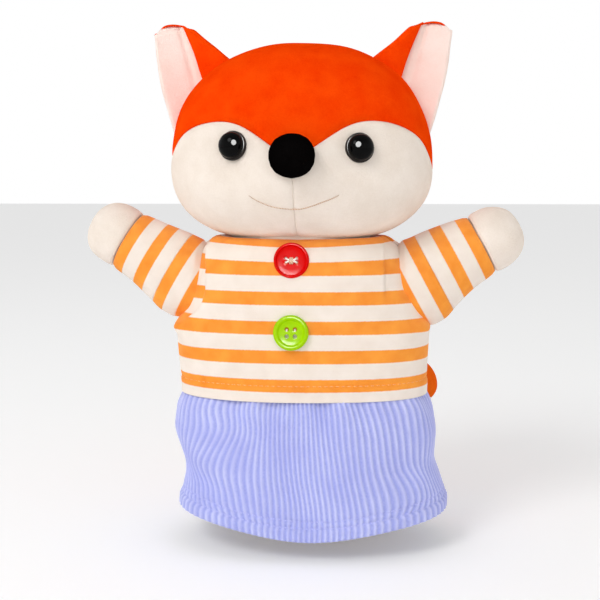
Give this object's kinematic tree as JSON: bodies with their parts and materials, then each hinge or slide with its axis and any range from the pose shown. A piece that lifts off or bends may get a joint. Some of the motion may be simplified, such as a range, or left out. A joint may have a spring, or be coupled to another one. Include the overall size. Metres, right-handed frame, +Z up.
{
  "type": "hand puppet",
  "caption": "Fox hand puppet: stuffed head over a striped shirt and corduroy trousers, with finger tubes in its head and arms, and a tail.",
  "frame": {"origin": "middle of the hand opening, in the plane of the trouser hem", "axes": "+Z up from the hem to the head, the puppet looks along -Y, +X towards the puppet's own left hand"},
  "size_m": [0.2324, 0.1349, 0.2605],
  "materials": {
    "orange_velour": "short pile velour",
    "cream_velour": "short pile velour",
    "black_velour": "short pile velour",
    "striped_jersey": "orange and cream striped velour jersey",
    "periwinkle_corduroy": "fine wale corduroy",
    "lining_cloth": "plain woven lining",
    "wadding": "polyester fibre",
    "sewing_thread": "twisted thread",
    "smile_thread": "twisted embroidery thread",
    "black_gloss": "polished",
    "washer_plastic": "moulded",
    "red_button": "polished",
    "green_button": "polished"
  },
  "bodies": {
    "torso": {"shirt_front": "striped_jersey", "shirt_back": "striped_jersey", "trousers_front": "periwinkle_corduroy", "trousers_back": "periwinkle_corduroy", "lining_front": "lining_cloth", "lining_back": "lining_cloth", "hem_facing": "periwinkle_corduroy", "neck_facing": "lining_cloth", "button_upper": "red_button", "button_lower": "green_button", "button_thread_upper": "sewing_thread", "button_thread_lower": "sewing_thread", "tail_root": "orange_velour"},
    "neck": {"neck_tube": "cream_velour", "neck_band": "cream_velour"},
    "head": {"head_crown": "orange_velour", "face_left": "cream_velour", "face_right": "cream_velour", "head_back_left": "orange_velour", "head_back_right": "orange_velour", "head_stuffing": "wadding", "finger_tube": "lining_cloth", "ear_front_left": "cream_velour", "ear_front_right": "cream_velour", "ear_wadding_left": "wadding", "ear_wadding_right": "wadding", "ear_back_left": "orange_velour", "ear_back_right": "orange_velour", "eye_left": "black_gloss", "eye_right": "black_gloss", "eye_washer_left": "washer_plastic", "eye_washer_right": "washer_plastic", "nose_cover": "black_velour", "nose_wadding": "wadding", "mouth_stitch": "smile_thread"},
    "shoulder_left": {"armhole_band_left": "cream_velour"},
    "shoulder_right": {"armhole_band_right": "cream_velour"},
    "arm_left": {"sleeve_left": "striped_jersey", "arm_pocket_left": "lining_cloth", "paw_skin_left": "cream_velour", "paw_wadding_left": "wadding"},
    "arm_right": {"sleeve_right": "striped_jersey", "arm_pocket_right": "lining_cloth", "paw_skin_right": "cream_velour", "paw_wadding_right": "wadding"},
    "tail": {"tail_skin": "orange_velour", "tail_tip": "cream_velour", "tail_wadding": "wadding"}
  },
  "joints": [
    {"name": "neck_turn", "type": "hinge", "parent": "torso", "child": "neck", "pos_m": [0, 0, 0.148], "axis": [0, 0, 1], "range_deg": [-30, 30], "stiffness_Nm_per_rad": 0.25},
    {"name": "head_nod", "type": "hinge", "parent": "neck", "child": "head", "pos_m": [0, 0, 0.148], "axis": [1, 0, 0], "range_deg": [-10, 10], "stiffness_Nm_per_rad": 0.6},
    {"name": "arm_left_swing", "type": "hinge", "parent": "torso", "child": "shoulder_left", "pos_m": [0.061, 0, 0.122], "axis": [0, 0, -1], "range_deg": [-15, 38], "stiffness_Nm_per_rad": 0.08},
    {"name": "arm_left_raise", "type": "hinge", "parent": "shoulder_left", "child": "arm_left", "pos_m": [0.061, 0, 0.122], "axis": [0, -1, 0], "range_deg": [-35, 16], "stiffness_Nm_per_rad": 0.1},
    {"name": "arm_right_swing", "type": "hinge", "parent": "torso", "child": "shoulder_right", "pos_m": [-0.061, 0, 0.122], "axis": [0, 0, 1], "range_deg": [-15, 38], "stiffness_Nm_per_rad": 0.08},
    {"name": "arm_right_raise", "type": "hinge", "parent": "shoulder_right", "child": "arm_right", "pos_m": [-0.061, 0, 0.122], "axis": [0, 1, 0], "range_deg": [-35, 16], "stiffness_Nm_per_rad": 0.1},
    {"name": "tail_wag", "type": "hinge", "parent": "torso", "child": "tail", "pos_m": [0.016, 0.044, 0.0765], "axis": [0, 1, 0], "range_deg": [-35, 35], "stiffness_Nm_per_rad": 0.03}
  ]
}
